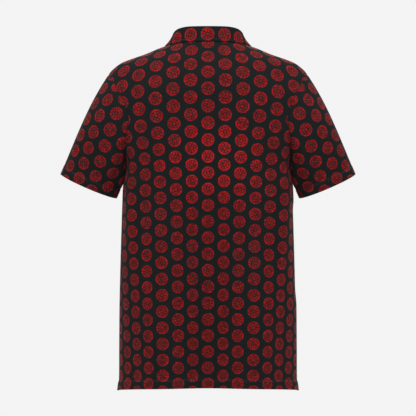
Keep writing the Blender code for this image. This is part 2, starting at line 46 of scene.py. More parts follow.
# The form of the shirt, as the solids have it but for the foot of the neck and the right side.
form = {
    "cloth": 1.0,
    "collarCloth": 1.8,
    "seamGap": 0.3,
    "hemHeight": -716.0,
    "hemDrop": 7.0,
    "underarmHeight": -250.0,
    "shoulderTipHeight": -63.0,
    "armholeDepth": {"back": 90.0, "front": 74.0},
    "neckHalfWidth": 80.0,
    "neckSideHeight": 3.0,
    "neckCentreHeight": {"back": 12.0, "front": -72.0},
    "neckRoundness": {"back": 2.0, "front": 1.3},
    "neckShare": 8 / 15,  # of a half panel's columns end on the neckline
    "seamValley": {"back": 2.8, "front": 2.8},
    "seamValleyBreadth": 17.0,
    "seamValleyGrowsBy": 110.0,  # mm above the underarm
    "foldsEnd": 42.0,
    "drawnIn": (-322.0, -545.0),  # the levels between which the wearer's right side is drawn in
    "drawnInFades": (25.0, 40.0),
    "drawnInBy": 0.012,
    "rowsFollowSeam": 0.65,
    "wallOfSolids": 1.2,
}
armholeMiddle = (form["shoulderTipHeight"] + form["underarmHeight"]) / 2
armholeTall = (form["shoulderTipHeight"] - form["underarmHeight"]) / 2
quarterSteps = 96  # in a quarter of a level section

sections = (
    ("height", "halfWidth", "back", "front", "squareness"),
    (-724, 190.2, 119, 123, 2.3),
    (-712, 188.8, 118.5, 122.5, 2.3),
    (-698, 187.0, 118, 122, 2.3),
    (-640, 186.6, 117, 121, 2.4),
    (-540, 185.8, 114, 119, 2.7),
    (-440, 183.4, 111, 117, 3.1),
    (-340, 180.2, 110, 116, 3.5),
    (-292, 178.2, 111, 117, 3.5),
    (-268, 174.4, 111.5, 117, 3.4),
    (-245, 172.6, 112, 117, 3.4),
    (-215, 184.0, 112.5, 115, 3.4),
    (-185, 200.0, 113, 111.5, 3.3),
    (-155, 206.0, 113, 104.5, 3.2),
    (-125, 217.0, 112.5, 94, 2.8),
    (-95, 220.0, 111.5, 80.5, 2.4),
    (-76, 217.0, 108.5, 71, 2.1),
    (-63, 210.4, 105, 65, 2.0),
    (-50, 200.5, 99.5, 58, 1.95),
    (-34, 178.0, 91, 49.5, 1.9),
    (-17, 131.0, 80.5, 39.5, 1.9),
    (-5, 102.5, 72.5, 32, 1.9),
    (3, 80.0, 66.5, 27, 1.95),
    (14, 62.0, 58.5, 22, 2.0),
)

# Folds: across the cloth from the panel's centre (the wearer's left is positive), half breadth,
# rise out of the panel, the levels where each starts, is full from and to, and ends, and its drift.
folds = {
    # across, breadth, rise, start, fullFrom, fullTo, end, drift
    "back": (
        (0, 44, -25.0, -60, -600, -730, -1000, 2),
        (97, 45, 17.0, -70, -610, -730, -1000, 6),
        (-98, 45, 16.0, -60, -580, -730, -1000, -4),
        (126, 17, -5.0, -140, -260, -330, -520, 9),
        (-125, 17, -4.5, -150, -270, -350, -540, -7),
        (163, 19, 4.5, -160, -270, -340, -540, 6),
        (-163, 19, 4.5, -160, -260, -330, -560, -6),
    ),
    "front": (
        (78, 42, 11.0, -180, -600, -740, -1000, 12),
        (-84, 40, 12.0, -170, -580, -740, -1000, -10),
        (-4, 40, -10.0, -260, -580, -740, -1000, 5),
        (152, 26, -7.0, -220, -380, -460, -680, 10),
        (-150, 24, -6.0, -230, -390, -450, -650, -9),
    ),
}


@lru_cache(maxsize=None)
def tableColumn(table, name):
    rows = np.array(sorted(table[1:]), float)
    at, values = rows[:, 0], rows[:, table[0].index(name)]
    slopes = np.gradient(values, at)
    slopes[1:-1] = (values[2:] - values[:-2]) / (at[2:] - at[:-2])
    return at, values, slopes


def readTable(table, name, places):
    # one column at places along the first column, as a smooth curve through the rows
    at, values, slopes = tableColumn(table, name)
    places = np.minimum(np.maximum(places, at[0]), at[-1])
    i = np.minimum(np.maximum(np.searchsorted(at, places) - 1, 0), len(at) - 2)
    span = at[i + 1] - at[i]
    t = (places - at[i]) / span
    return (
        (2 * t**3 - 3 * t**2 + 1) * values[i]
        + (t**3 - 2 * t**2 + t) * span * slopes[i]
        + (3 * t**2 - 2 * t**3) * values[i + 1]
        + (t**3 - t**2) * span * slopes[i + 1]
    )


def readOne(table, name, place):
    return float(readTable(table, name, np.array([place]))[0])


def ease(t):
    t = np.clip(t, 0.0, 1.0)
    return t * t * (3 - 2 * t)


def levelSections(panel, heights):
    # quarter sections at these heights, centre to side: x, y, way along, and their three sizes
    halfWidth = readTable(sections, "halfWidth", heights)[:, None]
    depth = readTable(sections, panel, heights)[:, None]
    squareness = readTable(sections, "squareness", heights)[:, None]
    turn = np.linspace(0, pi / 2, quarterSteps + 1)[None, :]
    x = halfWidth * np.sin(turn) ** (2 / squareness)
    y = depth * np.maximum(np.cos(turn), 0) ** (2 / squareness)
    steps = np.hypot(np.diff(x, axis=1), np.diff(y, axis=1))
    along = np.concatenate([np.zeros((len(x), 1)), np.cumsum(steps, axis=1)], axis=1)
    return x, y, along, halfWidth[:, 0], depth[:, 0], squareness[:, 0]


@lru_cache(maxsize=None)
def oneSection(panel, height):
    x, y, along, *_ = levelSections(panel, np.array([height], float))
    return x[0], y[0], along[0]


def fractionAtX(panel, x, height):
    xs, _, along = oneSection(panel, round(float(height), 3))
    return float(np.interp(abs(x), xs, along) / along[-1])


def fractionsAtX(panel, x, heights):
    # signed fractions of one place across the panel at many heights
    xs, _, along, *_ = levelSections(panel, np.asarray(heights, float))
    found = [np.interp(abs(x), row, way) / way[-1] for row, way in zip(xs, along)]
    return np.array(found) * (1 if x >= 0 else -1)


def fractionAtY(panel, y, height):
    _, ys, along = oneSection(panel, round(float(height), 3))
    return float(np.interp(-abs(y), -ys, along) / along[-1])


def foldRise(panel, across, toSide, height):
    total = np.zeros_like(across)
    for place, breadth, rise, start, fullFrom, fullTo, end, drift in folds[panel]:
        grown = ease((start - height) / (start - fullFrom)) * ease((height - end) / (fullTo - end))
        here = place + drift * (start - height) / (start - end)
        total += rise * grown * np.exp(-(((across - here) / breadth) ** 2))
    return total * ease(toSide / form["foldsEnd"])


def valleyDip(panel, y, height):
    # the cloth draws in beside the armhole seam, most where the seam runs up and down
    deep = form["armholeDepth"][panel]
    reach = np.maximum(np.hypot(y / deep, (height - armholeMiddle) / armholeTall), 1e-6)
    beside = np.abs(y / deep) / reach
    away = np.maximum(reach - 1, 0) * deep
    grown = ease((height - form["underarmHeight"]) / form["seamValleyGrowsBy"])
    deepest = form["seamValley"][panel] * beside**2 * grown
    return deepest * np.exp(-((away / form["seamValleyBreadth"]) ** 2))


def bodySurface(panel, fraction, height, lift=0.0):
    # outer surface at signed fractions of the way to the side, negative on the wearer's right
    fraction, height = np.broadcast_arrays(np.asarray(fraction, float), np.asarray(height, float))
    shape, f, h = fraction.shape, np.abs(fraction).ravel(), height.ravel()
    hand = np.where(fraction.ravel() < 0, -1.0, 1.0)
    x, y, along, halfWidth, depth, squareness = levelSections(panel, h)
    place = f * (along[:, -1] - form["seamGap"] / 2)
    k = np.clip((along <= place[:, None]).sum(axis=1) - 1, 0, quarterSteps - 1)
    n = np.arange(len(f))
    t = (place - along[n, k]) / (along[n, k + 1] - along[n, k])
    px = x[n, k] * (1 - t) + x[n, k + 1] * t
    (top, foot), (topFade, footFade) = form["drawnIn"], form["drawnInFades"]
    drawnIn = ease((top - h) / topFade) * ease((h - foot) / footFade)
    px = px * np.where(hand < 0, 1 - form["drawnInBy"] * drawnIn, 1.0)
    py = y[n, k] * (1 - t) + y[n, k + 1] * t
    nx = (px / halfWidth) ** (squareness - 1) / halfWidth
    ny = (py / depth) ** (squareness - 1) / depth
    size = np.hypot(nx, ny)
    out = foldRise(panel, hand * place, along[:, -1] - place, h) - valleyDip(panel, py, h) + lift
    rear = 1 if panel == "back" else -1
    points = np.stack([hand * (px + nx / size * out), rear * (py + ny / size * out), h], axis=-1)
    return points.reshape(shape + (3,))


def bodyPoint(panel, fraction, height, lift=0.0):
    return Vector(bodySurface(panel, [fraction], [height], lift)[0])


def bodyNormal(panel, fraction, height):
    step = 0.004
    ends = [min(fraction + step, 1), max(fraction - step, 0)]
    ahead = bodySurface(panel, ends, [height, height])
    across = Vector(ahead[0] - ahead[1])
    if fraction > 1 - step:
        across = Vector((0, across.y, 0))
    rows = bodySurface(panel, [fraction, fraction], [height + 0.5, height - 0.5])
    normal = across.cross(Vector(rows[0] - rows[1])).normalized()
    return normal if panel == "front" else -normal


@lru_cache(maxsize=None)
def armhole(panel, turn):
    # fraction and height on the armhole: turn 0 is the shoulder tip and 0.5 the underarm
    height = armholeMiddle + armholeTall * cos(2 * pi * turn)
    return fractionAtY(panel, form["armholeDepth"][panel] * sin(2 * pi * turn), height), height


def neckline(panel, turn):
    # turn 0 is the centre and 1 the side of the neck
    level = max(cos(pi / 2 * turn), 0) ** form["neckRoundness"][panel]
    side, centre = form["neckSideHeight"], form["neckCentreHeight"][panel]
    height = side + (centre - side) * level
    return fractionAtX(panel, form["neckHalfWidth"] * sin(pi / 2 * turn), height), height


def hemLevel(fraction):
    return form["hemHeight"] - form["hemDrop"] * fraction**2


def topEdge(panel, u):
    if u <= form["neckShare"]:
        return neckline(panel, u / form["neckShare"])
    down = (u - form["neckShare"]) / (1 - form["neckShare"])
    return 1.0, form["neckSideHeight"] + (form["shoulderTipHeight"] - form["neckSideHeight"]) * down


def surfaceNormals(points):
    # of a grid of points, columns first: they face the way that columns x rows turn
    normals = np.cross(np.gradient(points, axis=0), np.gradient(points, axis=1))
    return normals / np.maximum(np.linalg.norm(normals, axis=2, keepdims=True), 1e-9)


def wayFromEdges(points):
    # how far each point of the grid lies from its four edges, along its row or column
    across = np.linalg.norm(np.diff(points, axis=0), axis=2)
    along = np.linalg.norm(np.diff(points, axis=1), axis=2)
    fromFirst = np.concatenate([np.zeros((1, points.shape[1])), np.cumsum(across, axis=0)])
    fromFoot = np.concatenate([np.zeros((points.shape[0], 1)), np.cumsum(along, axis=1)], axis=1)
    return {
        "first": fromFirst,
        "last": fromFirst[-1] - fromFirst,
        "foot": fromFoot,
        "head": fromFoot[:, -1:] - fromFoot,
    }


def toMesh(bm, mesh):
    bm.to_mesh(mesh)
    bm.free()
    return mesh


def gridMesh(name, points):
    # a sheet of faces through a grid of points in millimetres
    columns, rows = points.shape[0] - 1, points.shape[1] - 1
    bm = bmesh.new()
    bmesh.ops.create_grid(bm, x_segments=columns, y_segments=rows, size=0.5)
    for vertex in bm.verts:
        i, j = round((vertex.co.x + 0.5) * columns), round((vertex.co.y + 0.5) * rows)
        vertex.co = Vector(points[i, j]) * mm
    mesh = toMesh(bm, bpy.data.meshes.new(name))
    mesh.shade_smooth()
    return mesh


def addObject(name, data):
    added = bpy.data.objects.new(name, data)
    bpy.context.scene.collection.objects.link(added)
    return added


def newPiece(name, mesh, materials, node=None):
    piece = addObject(name, mesh)
    for material in materials:
        mesh.materials.append(material)
    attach(piece, "root")
    if node:
        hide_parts(node)
    return piece


def layFlat(piece, upFrom, upTo, crosswise=False, shift=(0.0, 0.0)):
    # unfolds the sheet into its cut, in metres, with the line between two of its points upright, or
    # lying where it is cut crosswise, and moves it by a shift in millimetres
    bpy.context.view_layer.objects.active = piece
    piece.select_set(True)
    mesh = piece.data
    mesh.uv_layers.new(name="cut")
    bpy.ops.object.mode_set(mode="EDIT")
    bpy.ops.mesh.select_all(action="SELECT")
    bpy.ops.uv.unwrap(method="ANGLE_BASED", margin=0.0)
    bpy.ops.object.mode_set(mode="OBJECT")
    piece.select_set(False)
    layer = mesh.uv_layers["cut"].data
    flat = np.array([corner.uv for corner in layer])
    place = np.zeros((len(mesh.vertices), 2))
    place[[loop.vertex_index for loop in mesh.loops]] = flat
    spread = np.array([v.co for v in mesh.vertices])
    pairs = np.array([e.vertices for e in mesh.edges])
    real, drawn = (
        np.linalg.norm(at[pairs[:, 0]] - at[pairs[:, 1]], axis=1).sum() for at in (spread, place)
    )
    foot, head = (
        np.linalg.norm(spread - np.array(p) * mm, axis=1).argmin() for p in (upFrom, upTo)
    )
    up = place[head] - place[foot]
    up /= np.linalg.norm(up)
    # a mirrored cut is turned back, so that the print isn't reversed
    a, b, c = (place[k] for k in mesh.polygons[0].vertices[:3])
    sense = np.sign((b - a)[0] * (c - a)[1] - (b - a)[1] * (c - a)[0])
    right = np.array([up[1], -up[0]]) * sense
    flat = (flat - place[foot]) * (real / drawn)
    flat = np.stack([flat @ right, flat @ up], axis=1)
    size = flat.max(axis=0) - flat.min(axis=0)
    flat += np.array(shift) * mm
    if crosswise:
        flat = np.stack([-flat[:, 1], flat[:, 0]], axis=1)
    layer.foreach_set("uv", flat.ravel())
    print(f"cut {piece.name}: {size[0]:.3f} x {size[1]:.3f} m")


def giveWall(piece, thickness, offset=-1.0, inside=1):
    wall = piece.modifiers.new("wall", "SOLIDIFY")
    wall.thickness, wall.offset = thickness * mm, offset
    wall.use_quality_normals = True
    wall.material_offset, wall.material_offset_rim = inside, 0


def fromHex(code):
    # an sRGB hex colour as the linear one that the shaders take
    channels = [int(code[k : k + 2], 16) / 255 for k in (1, 3, 5)]
    return (*[c / 12.92 if c <= 0.04045 else ((c + 0.055) / 1.055) ** 2.4 for c in channels], 1.0)


def feed(node, inputs):
    # gives a node's inputs values or other nodes' outputs
    for place, value in inputs.items():
        if isinstance(value, bpy.types.NodeSocket):
            node.id_data.links.new(value, node.inputs[place])
        else:
            node.inputs[place].default_value = value


def addNode(shader, kind, inputs=None, **settings):
    # a node beside the shader, with its settings, values and links
    node = shader.id_data.nodes.new("ShaderNode" + kind)
    for name, value in settings.items():
        setattr(node, name, value)
    feed(node, inputs or {})
    return node


def newMaterial(name, flat):
    # a material whose shader has these values all over
    material = bpy.data.materials.new(name)
    material.use_nodes = True
    shader = material.node_tree.nodes["Principled BSDF"]
    feed(shader, flat)
    return material, shader


def setStops(ramp, tones):
    stops = ramp.color_ramp.elements
    stops[0].position, stops[1].position = tones[0][0], tones[-1][0]
    for place, _ in tones[1:-1]:
        stops.new(place)
    for stop, (_, code) in zip(stops, tones):
        stop.color = fromHex(code)


printValues = {
    "pitch": 34.2,  # mm between motifs down a column, and between columns
    "phase": (100.5, 100.37),  # where the motifs stand on a cut; the hundred keeps counts positive
    "radius": 12.8,
    "scallop": 0.9,  # the rim bulges by half of this over each petal
    "ringFrom": 9.9,
    "petals": 8,
    "petalFrom": 3.9,
    "petalTo": 8.7,
    "petalGap": 1.05,
    "dot": 2.3,
    "softEdge": 0.6,  # the ink bleeds this far into the knit
    "edgeWobble": 0.7,  # and the knit pulls its edge about by this much
    "edgeGrain": 2.38,
    "gapInk": 0.07,  # how much ink has run into the gaps of a motif
    "cover": 0.94,
    "inkGrain": 3.03,  # the ink's grain on the stitches, 0.8 mm in the cloth, drawn coarser to show
    "inkClouds": 11.1,
    "cloth": "#171a1a",
    "inkTones": ((0.40, "#3c0f12"), (0.52, "#781417"), (0.65, "#c0191e")),
    "highlightPlace": (-0.012, 0.11, -0.236),  # a painted highlight lightens the ink at the middle of the back
    "highlightSize": (0.11, 0.11, 0.11),
    "highlightFades": (0.1, 1.3),
    "highlightBy": 0.07,
}


def printedJersey(name, paintedLightLift=0.0):
    # Cotton jersey, circular knitted, piece dyed and screen printed: the eye gets a matt, almost
    # black cloth with a short soft nap, and thin red ink that lets the dark stitches through.
    v = printValues
    flat = {"Specular IOR Level": 0.03, "Sheen Weight": 0.02, "Sheen Roughness": 0.5}
    material, shader = newMaterial(name, flat)
    soft, pitch, wobble = v["softEdge"], v["pitch"], v["edgeWobble"] * mm
    petalTurn = 2 * pi / v["petals"]

    def rises(at):
        return at - soft, at + soft, 0.0, 1.0

    def falls(at):
        return at - soft, at + soft, 1.0, 0.0

    cut = addNode(shader, "UVMap", uv_map="cut").outputs[0]
    noises = {}
    for name, detail, rough in (("edgeGrain", 2, 0.5), ("inkGrain", 3, 0.7), ("inkClouds", 2, 0.5)):
        inputs = {"Vector": cut, "Scale": 1000 / v[name], "Detail": detail, "Roughness": rough}
        noises[name] = addNode(shader, "TexNoise", inputs)
    inputs = {0: noises["edgeGrain"].outputs["Color"], 1: (2 * wobble,) * 3, 2: (-wobble,) * 3}
    pull = addNode(shader, "VectorMath", inputs, operation="MULTIPLY_ADD")
    pulled = addNode(shader, "VectorMath", {0: cut, 1: pull.outputs[0]}, operation="ADD")
    onCut = addNode(shader, "SeparateXYZ", {0: pulled.outputs[0]})
    # the distance from the middle of the painted highlight on the back
    spot = addNode(shader, "TexCoord").outputs["Object"]
    for operation, by in (("SUBTRACT", "highlightPlace"), ("DIVIDE", "highlightSize")):
        spot = addNode(shader, "VectorMath", {0: spot, 1: v[by]}, operation=operation).outputs[0]
    spot = addNode(shader, "VectorMath", {0: spot}, operation="LENGTH").outputs["Value"]
    made = {
        "cutX": onCut.outputs[0],
        "cutY": onCut.outputs[1],
        "grain": noises["inkGrain"].outputs[0],
        "clouds": noises["inkClouds"].outputs[0],
        "fromFresh": spot,
    }
    steps = (
        # a node's name, what it does and what it takes: a word is an output above it
        ("across", "MULTIPLY_ADD", "cutX", 1000 / pitch, v["phase"][0]),
        ("column", "FLOOR", "across"),
        ("odd", "MODULO", "column", 2.0),
        ("drop", "MULTIPLY_ADD", "odd", 0.5, v["phase"][1]),  # odd columns are half a motif lower
        ("upward", "MULTIPLY_ADD", "cutY", 1000 / pitch, "drop"),
        ("inColumn", "FRACT", "across"),
        ("inRow", "FRACT", "upward"),
        ("x", "MULTIPLY_ADD", "inColumn", pitch, -pitch / 2),
        ("y", "MULTIPLY_ADD", "inRow", pitch, -pitch / 2),
        ("xx", "MULTIPLY", "x", "x"),
        ("squared", "MULTIPLY_ADD", "y", "y", "xx"),
        ("reach", "SQRT", "squared"),
        # a rosette: a scalloped rim, petals inside it and a dot
        ("angle", "ARCTAN2", "y", "x"),
        ("turn", "MULTIPLY_ADD", "angle", 1 / petalTurn, float(v["petals"])),
        ("petal", "PINGPONG", "turn", 0.5),
        ("arc", "MULTIPLY", "reach", petalTurn),
        ("fromSide", "MULTIPLY", "petal", "arc"),
        ("rim", "MULTIPLY_ADD", "petal", v["scallop"], v["radius"]),
        ("withinRim", "SUBTRACT", "rim", "reach"),
        ("motif", "SMOOTHSTEP", "withinRim", *rises(0.0)),
        ("ring", "SMOOTHSTEP", "reach", *rises(v["ringFrom"])),
        ("tip", "SMOOTHSTEP", "reach", *falls(v["petalTo"])),
        ("foot", "SMOOTHSTEP", "reach", *rises(v["petalFrom"])),
        ("side", "SMOOTHSTEP", "fromSide", *rises(v["petalGap"])),
        ("ends", "MULTIPLY", "tip", "foot"),
        ("petals", "MULTIPLY", "ends", "side"),
        ("dot", "SMOOTHSTEP", "reach", *falls(v["dot"])),
        ("middle", "MAXIMUM", "petals", "dot"),
        ("drawn", "MAXIMUM", "ring", "middle"),
        ("bled", "MULTIPLY_ADD", "drawn", 1 - v["gapInk"], v["gapInk"]),
        ("inked", "MULTIPLY", "motif", "bled"),
        ("cover", "MULTIPLY", "inked", v["cover"]),
        ("roughness", "MULTIPLY_ADD", "inked", -0.3, 0.9),  # the ink is a little smoother
        # how thickly the ink lies on the stitches, with a painted highlight on top
        ("patches", "MULTIPLY", "clouds", 0.25),
        ("uneven", "MULTIPLY_ADD", "grain", 0.75, "patches"),
        # painted highlight: the ink is lighter near the middle of the back
        ("unworn", "SMOOTHSTEP", "fromFresh", *v["highlightFades"], 1.0, 0.0),
        # and a lit copy of the cloth has all of its ink painted lighter
        ("fresh", "MULTIPLY_ADD", "unworn", v["highlightBy"], paintedLightLift),
        ("thickness", "ADD", "uneven", "fresh"),
    )
    for step, operation, *parts in steps:
        smooth = operation == "SMOOTHSTEP"
        kind, setting = ("MapRange", "interpolation_type") if smooth else ("Math", "operation")
        inputs = {k: made.get(part, part) for k, part in enumerate(parts)}
        made[step] = addNode(shader, kind, inputs, **{setting: operation}).outputs[0]
    ink = addNode(shader, "ValToRGB", {0: made["thickness"]})
    setStops(ink, v["inkTones"])
    inputs = {0: made["cover"], 6: fromHex(v["cloth"]), 7: ink.outputs[0]}
    colour = addNode(shader, "Mix", inputs, data_type="RGBA")
    feed(shader, {"Base Color": colour.outputs[2], "Roughness": made["roughness"]})
    knitBump(shader, cut, 0.35)
    return material


knitValues = {
    "wale": 3.16,  # mm from wale to wale, 0.55 mm in the cloth, drawn coarser so that they show
    "nap": 1.11,  # tufts of the nap, also drawn coarser
    "depth": 0.4,
}


def knitBump(shader, cut, strength):
    # the wales of the knit and the nap on them; the wave texture has 20 / 2 pi waves to a unit
    v = knitValues
    scale = pi / 10 * 1000 / v["wale"]
    inputs = {"Vector": cut, "Scale": scale, "Distortion": 1.5, "Detail": 1.0, "Detail Scale": 3.0}
    wave = addNode(shader, "TexWave", inputs, bands_direction="X")
    nap = addNode(shader, "TexNoise", {"Vector": cut, "Scale": 1000 / v["nap"], "Detail": 3.0})
    height = addNode(shader, "Math", {0: wave.outputs["Fac"], 1: nap.outputs[0]}, operation="ADD")
    inputs = {"Height": height.outputs[0], "Strength": strength, "Distance": v["depth"] * mm}
    feed(shader, {"Normal": addNode(shader, "Bump", inputs).outputs[0]})


def mottledMaterial(name, source, patch, detail, tones, flat, distortion=0.0):
    # a material that drifts between two tones, in patches of a size in millimetres
    material, shader = newMaterial(name, flat)
    if source == "cut":
        place = addNode(shader, "UVMap", uv_map="cut").outputs[0]
    else:
        place = addNode(shader, "TexCoord").outputs["Object"]
    inputs = {"Vector": place, "Scale": 1000 / patch, "Detail": detail, "Distortion": distortion}
    ramp = addNode(shader, "ValToRGB", {0: addNode(shader, "TexNoise", inputs).outputs[0]})
    setStops(ramp, tones)
    feed(shader, {"Base Color": ramp.outputs[0]})
    return material, shader, place


def plainJersey(name):
    # The unprinted back of the same jersey: the ink doesn't come through, so the inside is plain.
    flat = {"Roughness": 0.9, "Specular IOR Level": 0.06, "Sheen Weight": 0.03}
    tones = ((0.0, "#262324"), (1.0, "#34302f"))
    material, shader, cut = mottledMaterial(name, "cut", 6.25, 3.0, tones, flat)
    knitBump(shader, cut, 0.4)
    return material


def sewingThread(name):
    # Spun polyester sewing thread, dyed to the cloth: a little smoother and so a little lighter.
    # Its twist of 0.3 mm is drawn at 0.56 mm so that it shows.
    flat = {"Roughness": 0.6, "Sheen Weight": 0.1}
    tones = ((0.0, "#231f20"), (1.0, "#3d3638"))
    return mottledMaterial(name, "piece", 0.556, 1.0, tones, flat)[0]


def mouldedButton(name):
    # Cast polyester resin buttons, tumbled smooth: dark, with a soft gloss and a faint clouding.
    # The tumbling's fine marks are drawn at 0.42 mm so that they show.
    flat = {"Roughness": 0.28, "IOR": 1.55}
    tones = ((0.35, "#1b1a1c"), (0.7, "#302e31"))
    material, shader, place = mottledMaterial(name, "piece", 3.85, 3.0, tones, flat, 0.6)
    marks = addNode(shader, "TexNoise", {"Vector": place, "Scale": 1000 / 0.417, "Detail": 2.0})
    inputs = {"Height": marks.outputs[0], "Strength": 0.08, "Distance": 0.2 * mm}
    feed(shader, {"Normal": addNode(shader, "Bump", inputs).outputs[0]})
    return material


jersey = printedJersey("screen_printed_cotton_jersey")
collarJersey = printedJersey("collar_jersey_painted_light", 0.02)  # the same cloth, with its ink painted lighter for the light from above on the collar
jerseyInside = plainJersey("cotton_jersey_inside")
thread = sewingThread("dyed_sewing_thread")
resin = mouldedButton("cast_resin_button")
print("materials made")


panelGrid = {
    "halfColumns": 58,
    "slitColumn": 3,
    "slitBlendsBy": 12,
    "hemRows": 22,  # fine rows over the turned-up hem
    "hemReach": 26.0,
    "lowerRows": 116,
    "upperRows": 62,
    "slitHalfWidth": 12.0,
    "slitFoot": -214.0,
}


def panelPlaces(panel):
    # fraction (signed) and height of every grid point of a body panel, from its four edges
    g = panelGrid
    half, lower, upper = g["halfColumns"], g["lowerRows"], g["upperRows"]
    underarm, follow = form["underarmHeight"], form["rowsFollowSeam"]
    centreTop, cornerTop = np.array(topEdge(panel, 0.0)), np.array(topEdge(panel, 1.0))
    places = np.zeros((2 * half + 1, lower + upper + 1, 2))
    for i in range(2 * half + 1):
        u = abs(i - half) / half
        foot = hemLevel(u)
        hemTop = foot + g["hemReach"]
        beyond = topEdge(panel, u) - (1 - u) * centreTop - u * cornerTop
        for j in range(lower + upper + 1):
            if j <= g["hemRows"]:
                places[i, j] = u, foot + g["hemReach"] * j / g["hemRows"]
            elif j <= lower:
                part = (j - g["hemRows"]) / (lower - g["hemRows"])
                places[i, j] = u, hemTop + (underarm - hemTop) * part
            else:
                s = (j - lower) / upper
                rise = (1 - follow) * (sin(pi * (s - 0.5)) + 1) / 2 + follow * s
                centre = np.array((0.0, underarm + (centreTop[1] - underarm) * rise))
                seam = np.array(armhole(panel, 0.5 * (1 - s)))
                places[i, j] = (1 - u) * centre + u * seam + rise * beyond
        if i < half:
            places[i, :, 0] *= -1
    return places[..., 0], places[..., 1]


def rollEdge(way, depth, breadth):
    # how far the cloth rolls in beside a seam
    return depth * np.exp(-((way / breadth) ** 2))


creases = {
    # across, height, slope (0 lies level, 90 upright), half length, half breadth, rise
    "back": (
        (128, -262, 58, 52, 9, 1.3),
        (112, -300, 66, 48, 8, -1.1),
        (-130, -268, 122, 54, 9, 1.4),
        (-110, -310, 114, 46, 8, -1.0),
        (84, -150, 40, 46, 10, 0.9),
        (-88, -142, 138, 44, 10, 0.9),
        (150, -420, 80, 70, 9, 1.2),
        (-152, -445, 98, 74, 9, 1.2),
        (26, -505, 84, 90, 10, 0.9),
        (-34, -470, 97, 84, 9, -0.8),
        (8, -46, 4, 70, 7, -0.6),
    ),
    "front": (
        (120, -240, 52, 58, 10, 1.8),
        (96, -286, 60, 52, 9, -1.5),
        (-122, -236, 129, 60, 10, 1.7),
        (-100, -292, 118, 50, 9, -1.4),
        (60, -150, 38, 50, 10, 1.2),
        (-64, -146, 142, 48, 10, 1.2),
        (34, -300, 78, 70, 9, 1.1),
        (-30, -330, 103, 74, 9, 1.0),
        (130, -430, 82, 80, 10, 1.5),
        (-134, -410, 99, 76, 10, 1.4),
        (12, -560, 88, 80, 10, 0.9),
    ),
}


creaseBow, creaseWaver = 3.0, 1.2  # mm that a crease leaves its line by, bowing and wavering


def creaseRise(panel, across, height):
    # soft uneven creases laid on the panel: long strokes that bow a little and fade out
    total = np.zeros_like(height)
    for x, z, slope, length, breadth, rise in creases[panel]:
        level, upright = cos(radians(slope)), sin(radians(slope))
        along = (across - x) * level + (height - z) * upright
        beside = (height - z) * level - (across - x) * upright
        beside += creaseBow * (along / length) ** 2 + creaseWaver * np.sin(along / 17.0 + x)
        total += rise * np.exp(-((beside / breadth) ** 2) - (along / length) ** 4)
    return total


seamValues = {
    "roll": 0.7,
    "rollBreadth": 2.0,
    "tuck": 2.0,  # the back's seam allowance runs this far in under the front's edge
    "tuckDrop": 0.9,
    "hemFades": 6.0,
    "creasesFade": 25.0,
}


def tuckUnder(points, normals):
    # closes the side and shoulder seams, from the two outermost rows of points along each
    seam = slice(0, panelGrid["lowerRows"] + 1)
    shoulder = round(panelGrid["halfColumns"] * (1 - form["neckShare"]))
    edges = [((0, seam), (1, seam)), ((-1, seam), (-2, seam))]
    for columns in (slice(1, shoulder), slice(-shoulder, -1)):
        edges.append(((columns, -1), (columns, -2)))
    for edge, inner in edges:
        out = points[edge] - points[inner]
        out /= np.linalg.norm(out, axis=1, keepdims=True)
        points[edge] += out * seamValues["tuck"] - normals[edge] * seamValues["tuckDrop"]


def shapedPanel(panel):
    v = seamValues
    fraction, height = panelPlaces(panel)
    if panel == "front":
        # the columns beside the placket run straight down its slit
        g = panelGrid
        half, at = g["halfColumns"], g["slitColumn"]
        shift = fractionsAtX("front", g["slitHalfWidth"], height[half + at]) - fraction[half + at]
        for k in range(1, g["slitBlendsBy"]):
            part = k / at if k <= at else (g["slitBlendsBy"] - k) / (g["slitBlendsBy"] - at)
            fraction[half + k] += shift * part
            fraction[half - k] -= shift * part
    points = bodySurface(panel, fraction, height)
    normals = surfaceNormals(points)
    if panel == "back":
        normals = -normals
    ways = wayFromEdges(points)
    side = np.minimum(ways["first"], ways["last"])
    lift = hemBand(height - hemLevel(fraction), "body") * ease(side / v["hemFades"])
    lift += creaseRise(panel, points[..., 0], height) * ease(side / v["creasesFade"])
    lift -= rollEdge(side, v["roll"], v["rollBreadth"])
    beyondNeck = np.abs(np.linspace(-1, 1, len(points)))[:, None] > form["neckShare"]
    lift -= rollEdge(ways["head"], v["roll"], v["rollBreadth"]) * beyondNeck
    points = points + normals * lift[..., None]
    if panel == "back":
        tuckUnder(points, normals)
    return points


hemValues = {
    "turnUp": 19.5,
    "step": (2.0, 3.0),  # the edge of the turned-up cloth starts this far above, over this much
    "body": {"kick": 1.0, "groove": 0.6, "breadth": 1.6},
    "sleeve": {"kick": 0.7, "groove": 0.5, "breadth": 1.1},
}


def hemBand(above, place):
    # the turned-up hem stands a little proud below the groove that its stitching draws in
    turnUp, (start, over), v = hemValues["turnUp"], hemValues["step"], hemValues[place]
    band = ease((turnUp + start - above) / over) * v["kick"]
    return band - v["groove"] * np.exp(-(((above - turnUp) / v["breadth"]) ** 2))


def makePanel(panel):
    points = shapedPanel(panel)
    if panel == "back":
        points = points[::-1]  # so that the faces look outwards
    mesh = gridMesh(panel + "Sheet", points)
    piece = newPiece(panel + "Panel", mesh, (jersey, jerseyInside), panel)
    if panel == "front":
        cutSlit(mesh)
    middle = panelGrid["halfColumns"]
    layFlat(piece, points[middle, 4], points[middle, panelGrid["lowerRows"]])
    giveWall(piece, form["cloth"])
    return points


def cutSlit(mesh):
    bm = bmesh.new()
    bm.from_mesh(mesh)
    slit = []
    for face in bm.faces:
        middle = face.calc_center_median() / mm
        if abs(middle.x) < panelGrid["slitHalfWidth"] and middle.z > panelGrid["slitFoot"]:
            slit.append(face)
    bmesh.ops.delete(bm, geom=slit, context="FACES")
    toMesh(bm, mesh)


backPoints = makePanel("back")
frontPoints = makePanel("front")
print("body panels made")


